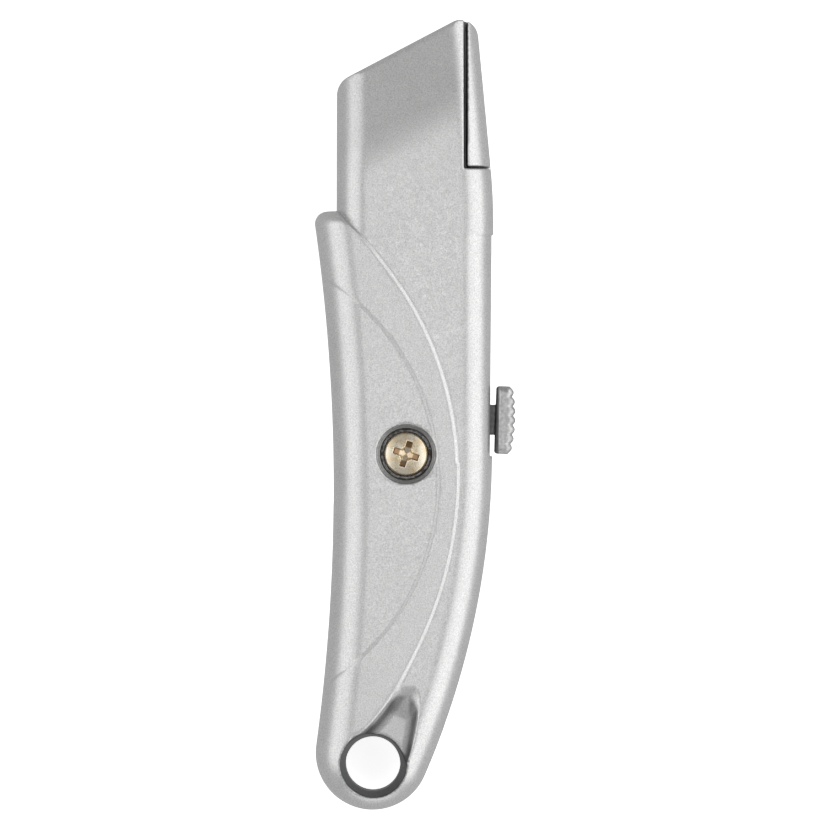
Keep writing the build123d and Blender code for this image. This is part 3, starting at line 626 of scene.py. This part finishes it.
def body_shade(x, y, z):
    """Painted shade in the hang hole, on the pocket's walls, in the screw's recess and in the
    gap.
    """
    up = np.abs(z)
    below = LOW_TOP - up
    hole = ramp(hole_wall(x, y, up), 0.22, 0.04)
    mouth = -loop_distance(x, y, POCKET_MOUTH)
    side = ramp(mouth, 0.1, 0.6) * (1 - 0.85 * ramp(mouth, 1.6, 2.5)) * ramp(below, 0.1, 0.7)
    side = side * ramp(from_pocket_tip(x, y), 0.3, 2.2)
    recess = ramp(circle(x, y, SCREW, RECESS_MOUTH + 0.06), 0, -0.1)
    recess = recess * ramp(TOP - PANEL_DEPTH - z, 0.04, 0.3)
    gap_middle = STRIP_WIDTH + STRIP_GAP_SIDE / 2
    across = np.abs(y - gap_middle) - STRIP_GAP_SIDE / 2
    gap = ramp(across, 0.08, -0.04) * (x > STRIP_REAR - STRIP_GAP) * ramp(below, 0.2, 0.8)
    gap = gap * ramp(z, -0.3, 0.1)
    return np.maximum(np.maximum(0.87 * hole, 0.7 * side), np.maximum(0.72 * recess, 0.92 * gap))


def screw_shade(x, y, z):
    """Painted shade in the cross recess, darkest at the ends of its arms."""
    dx, dy = x - SCREW[0], y - SCREW[1]
    turn = radians(CROSS_TURN)
    u = np.abs(dx * cos(turn) + dy * sin(turn))
    v = np.abs(-dx * sin(turn) + dy * cos(turn))
    far, near = np.maximum(u, v), np.minimum(u, v)
    in_arm = ramp(near, CROSS_HALF_WIDTH + 0.12, CROSS_HALF_WIDTH - 0.02)
    crown = TOP - PANEL_DEPTH - RECESS_DEPTH + HEAD_HEIGHT
    depth = ramp(crown - z, 0.3, 0.6)
    return in_arm * depth * (0.3 + 0.55 * ramp(far, 1.2, 1.5)) * (far < CROSS_ARM + 0.1)


def button_shade(x, y, z):
    """Painted shade on the stem and the underside."""
    return 0.92 * ramp(y, BUTTON_BASE - 0.72, BUTTON_BASE - 0.52)


# ---- materials ---------------------------------------------------------------------------------
class Nodes:
    """Short way to build a material's node tree."""

    def __init__(self, name, **sockets):
        self.material = bpy.data.materials.new(name)
        self.material.use_nodes = True
        self.tree = self.material.node_tree
        self.shader = self.tree.nodes["Principled BSDF"]
        for socket, value in sockets.items():
            self.shader.inputs[socket.replace("_", " ")].default_value = value
        self.place = self.node("ShaderNodeTexCoord").outputs["Object"]

    def node(self, kind, **settings):
        made = self.tree.nodes.new(kind)
        for key, value in settings.items():
            if hasattr(made, key):
                setattr(made, key, value)
            else:
                made.inputs[key.replace("_", " ")].default_value = value
        return made

    def link(self, output, target):
        self.tree.links.new(output, target)

    def noise(self, size, detail=2.0, roughness=0.5, stretch=(1, 1, 1)):
        """Noise whose features are about size millimetres, stretched along the axes."""
        mapping = self.node("ShaderNodeMapping")
        mapping.inputs["Scale"].default_value = [1 / (s * size * MM) for s in stretch]
        self.link(self.place, mapping.inputs["Vector"])
        made = self.node("ShaderNodeTexNoise", Scale=1.0, Detail=detail, Roughness=roughness)
        self.link(mapping.outputs["Vector"], made.inputs["Vector"])
        return made.outputs["Fac"]

    def blend(self, factor, low, high, start=0.3, stop=0.7):
        """Colour or value that runs from low to high with the factor."""
        band = self.node("ShaderNodeMapRange")
        band.inputs["From Min"].default_value = start
        band.inputs["From Max"].default_value = stop
        self.link(factor, band.inputs["Value"])
        if isinstance(low, (int, float)):
            band.inputs["To Min"].default_value = low
            band.inputs["To Max"].default_value = high
            return band.outputs["Result"]
        mixed = self.node("ShaderNodeMix", data_type="RGBA")
        mixed.inputs["A"].default_value = (*low, 1)
        mixed.inputs["B"].default_value = (*high, 1)
        self.link(band.outputs["Result"], mixed.inputs["Factor"])
        return mixed.outputs["Result"]

    def times(self, a, b):
        mixed = self.node("ShaderNodeMix", data_type="RGBA", blend_type="MULTIPLY")
        mixed.inputs["Factor"].default_value = 1.0
        self.link(a, mixed.inputs["A"])
        self.link(b, mixed.inputs["B"])
        return mixed.outputs["Result"]

    def with_painted_shade(self, colour, least):
        """Colour darkened by painted shade, falling to the share least where the mesh's shade is
        1.
        """
        spots = self.node("ShaderNodeAttribute", attribute_name="shade")
        dim = self.blend(spots.outputs["Fac"], (1.0, 1.0, 1.0), least, 0.0, 1.0)
        return self.times(colour, dim)

    def bump(self, *layers):
        """Bump from (height output, depth in millimetres) layers."""
        normal = None
        for height, depth in layers:
            made = self.node("ShaderNodeBump", Strength=1.0, Distance=depth * MM)
            self.link(height, made.inputs["Height"])
            if normal is not None:
                self.link(normal, made.inputs["Normal"])
            normal = made.outputs["Normal"]
        self.link(normal, self.shader.inputs["Normal"])


def cast_silver():
    """Silver lacquer on a zinc casting: metal flake, fine orange peel and soft cast waves."""
    m = Nodes("cast_silver", Metallic=0.8)
    flake = m.blend(m.noise(0.24, 3.0, 0.7), (0.55, 0.55, 0.55), (0.80, 0.80, 0.795), 0.36, 0.64)
    cloud = m.blend(m.noise(9.0, 2.0), (0.97, 0.97, 0.97), (1.0, 1.0, 1.0))
    colour = m.times(flake, cloud)
    # painted shade: the lacquer falls to a tenth of its colour where the shade attribute is 1
    m.link(m.with_painted_shade(colour, (0.10, 0.10, 0.105)), m.shader.inputs["Base Color"])
    m.link(m.blend(m.noise(0.5, 3.0), 0.33, 0.43), m.shader.inputs["Roughness"])
    m.bump((m.noise(0.28, 3.0, 0.6), 0.004), (m.noise(3.5, 1.0), 0.02))
    return m.material


def bare_casting():
    """Tumbled bare zinc: darker and blotchier than the lacquer."""
    m = Nodes("bare_casting", Metallic=0.9)
    base = m.blend(m.noise(0.7, 4.0, 0.65), (0.42, 0.42, 0.42), (0.64, 0.64, 0.635), 0.35, 0.65)
    # painted shade on the button's stem and underside
    colour = m.with_painted_shade(base, (0.25, 0.25, 0.26))
    m.link(colour, m.shader.inputs["Base Color"])
    m.link(m.blend(m.noise(0.35, 3.0), 0.34, 0.50), m.shader.inputs["Roughness"])
    m.bump((m.noise(0.25, 3.0, 0.6), 0.009), (m.noise(1.6, 2.0), 0.02))
    return m.material


def yellow_zinc():
    """Yellow passivated zinc plate, with the faint rainbow clouds of its chromate film."""
    m = Nodes("yellow_zinc", Metallic=1.0)
    film = m.blend(m.noise(1.6, 3.0, 0.6), (0.86, 0.70, 0.46), (0.95, 0.87, 0.72), 0.38, 0.62)
    # painted shade in the screw's cross recess, darkest at the arms' ends
    colour = m.with_painted_shade(film, (0.22, 0.12, 0.05))
    m.link(colour, m.shader.inputs["Base Color"])
    m.link(m.blend(m.noise(0.4, 3.0), 0.24, 0.36), m.shader.inputs["Roughness"])
    m.bump((m.noise(0.3, 2.0), 0.004),)
    return m.material


def ground_steel(name, low, high, rough, grain):
    """Ground or rolled steel with fine lines along one axis and faint oil clouds."""
    m = Nodes(name, Metallic=1.0, Roughness=rough, Anisotropic=0.4)
    lines = m.noise(0.12, 2.0, 0.6, grain)
    base = m.blend(lines, low, high, 0.3, 0.7)
    cloud = m.blend(m.noise(6.0, 3.0), (0.94, 0.945, 0.955), (1.0, 1.0, 1.0))
    m.link(m.times(base, cloud), m.shader.inputs["Base Color"])
    m.link(m.blend(m.noise(4.0, 3.0), rough - 0.02, rough + 0.05), m.shader.inputs["Roughness"])
    m.bump((lines, 0.004),)
    return m.material


SILVER = cast_silver()
CASTING = bare_casting()
ZINC = yellow_zinc()
BLADE_STEEL = ground_steel(
    "blade_steel", (0.46, 0.47, 0.48), (0.60, 0.61, 0.62), 0.28, (1, 40, 1)
)
SPRING_STEEL = ground_steel(
    "spring_steel", (0.16, 0.17, 0.20), (0.24, 0.25, 0.29), 0.30, (40, 1, 1)
)
RIVET_STEEL = ground_steel(
    "rivet_steel", (0.50, 0.50, 0.50), (0.62, 0.62, 0.62), 0.32, (1, 1, 1)
)


# ---- pieces ------------------------------------------------------------------------------------
sculpt("front_body_half", front_half, (-0.9, -2.1, -0.6), (156, 36, 9.0), 0.3, 0.5,
       SILVER, "cover", body_shade)
sculpt("rear_body_half", rear_half, (-0.9, -2.1, -9.0), (156, 36, 9.0), 0.3, 0.45,
       SILVER, "rear_half", body_shade)
sculpt("thumb_button", thumb_button, (69, -5.6, -5), (84, 6, 5), 0.125, 0.8,
       CASTING, "button", button_shade)
sculpt("body_screw", body_screw, (64.8, 11.8, -6), (75, 22, 8), 0.09, 1.0,
       ZINC, "screw", screw_shade)
spring = sculpt("lock_spring", lock_spring, (72.0, 1.5, -2.8), (93.6, 6.0, 2.8), 0.1, 0.4,
                SPRING_STEEL, None)
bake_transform(spring)


def repaint(material, *names):
    """Gives CAD nodes that keep their shape a finished material."""
    for name in names:
        node = frame["nodes"][name]
        node.data.materials.clear()
        node.data.materials.append(material)


repaint(CASTING, "blade_carrier")
repaint(RIVET_STEEL, "spring_rivet")
repaint(BLADE_STEEL, "cutting_blade", *(n for n in frame["nodes"] if n.startswith("spare_blade")))


# ---- stage, light and camera -------------------------------------------------------------------
CAMERA_HEIGHT = 1.25
VIEW_WIDTH = 0.1632                # width of the view at the parting plane
SENSOR = 36.0
FLOOR_HALF = 3.0
FLOOR_GLOW = 0.80
ROOM_GLOW = (0.43, 0.33)           # strength low down and high up
ROOM_GLOW_HEIGHTS = (0.1, 0.6)
SOFT_BOXES = (                     # name, place, size and power
    ("spine_box", (0.0, -0.95, 0.68), (2.0, 1.4), 10.6),
    ("belly_box", (0.0, 0.95, 0.75), (1.2, 1.2), 4.7),
    ("tail_box", (-1.1, 0.0, 0.32), (1.2, 0.6), 1.6),
    ("top_box", (0.0, 0.0, 1.60), (0.30, 0.30), 1.05),
)

low, high = (Vector(corner) for corner in cad_box)
middle = (low + high) / 2
parting = ORIGIN[2] * MM


def floor():
    """White table that glows a little, as the sweep under a product does."""
    mesh = bpy.data.meshes.new("floor")
    signs = ((-1, -1), (1, -1), (1, 1), (-1, 1))
    corners = [(FLOOR_HALF * i, FLOOR_HALF * j, low.z) for i, j in signs]
    mesh.from_pydata(corners, [], [(0, 1, 2, 3)])
    made = bpy.data.objects.new("floor", mesh)
    bpy.context.scene.collection.objects.link(made)
    m = Nodes("floor", Base_Color=(0.9, 0.9, 0.9, 1), Roughness=0.9)
    m.shader.inputs["Emission Color"].default_value = (1, 1, 1, 1)
    m.shader.inputs["Emission Strength"].default_value = FLOOR_GLOW
    mesh.materials.append(m.material)
    made.visible_glossy = False    # the knife mirrors the dim room below its edges


def area_light(name, place, size, power):
    """Soft box that faces the knife."""
    data = bpy.data.lights.new(name, "AREA")
    data.shape = "RECTANGLE"
    data.size, data.size_y = size
    data.energy = power
    made = bpy.data.objects.new(name, data)
    bpy.context.scene.collection.objects.link(made)
    made.location = place
    made.rotation_euler = (middle - Vector(place)).to_track_quat("-Z", "Y").to_euler()


def light_room():
    """Soft boxes beside, behind and above the knife, in a room that is lighter low down."""
    world = bpy.data.worlds.new("room")
    bpy.context.scene.world = world
    world.use_nodes = True
    tree = world.node_tree
    sight = tree.nodes.new("ShaderNodeTexCoord")
    parts = tree.nodes.new("ShaderNodeSeparateXYZ")
    glow = tree.nodes.new("ShaderNodeMapRange")
    for name, ends in (("From", ROOM_GLOW_HEIGHTS), ("To", ROOM_GLOW)):
        glow.inputs[name + " Min"].default_value = ends[0]
        glow.inputs[name + " Max"].default_value = ends[1]
    tree.links.new(sight.outputs["Generated"], parts.inputs["Vector"])
    tree.links.new(parts.outputs["Z"], glow.inputs["Value"])
    tree.links.new(glow.outputs["Result"], tree.nodes["Background"].inputs["Strength"])
    tree.nodes["Background"].inputs["Color"].default_value = (1, 1, 1, 1)
    for soft_box in SOFT_BOXES:
        area_light(*soft_box)


def main_camera():
    """Long lens straight above the knife, nose up in the picture."""
    data = bpy.data.cameras.new("camera")
    data.sensor_width = SENSOR
    data.lens = SENSOR * CAMERA_HEIGHT / VIEW_WIDTH
    data.clip_end = 20
    made = bpy.data.objects.new("camera", data)
    bpy.context.scene.collection.objects.link(made)
    made.location = (middle.x, middle.y, parting + CAMERA_HEIGHT)
    made.rotation_euler = (0, 0, -pi / 2)
    bpy.context.scene.camera = made


floor()
light_room()
main_camera()
bpy.context.scene.view_settings.view_transform = "Standard"

bpy.context.view_layer.update()
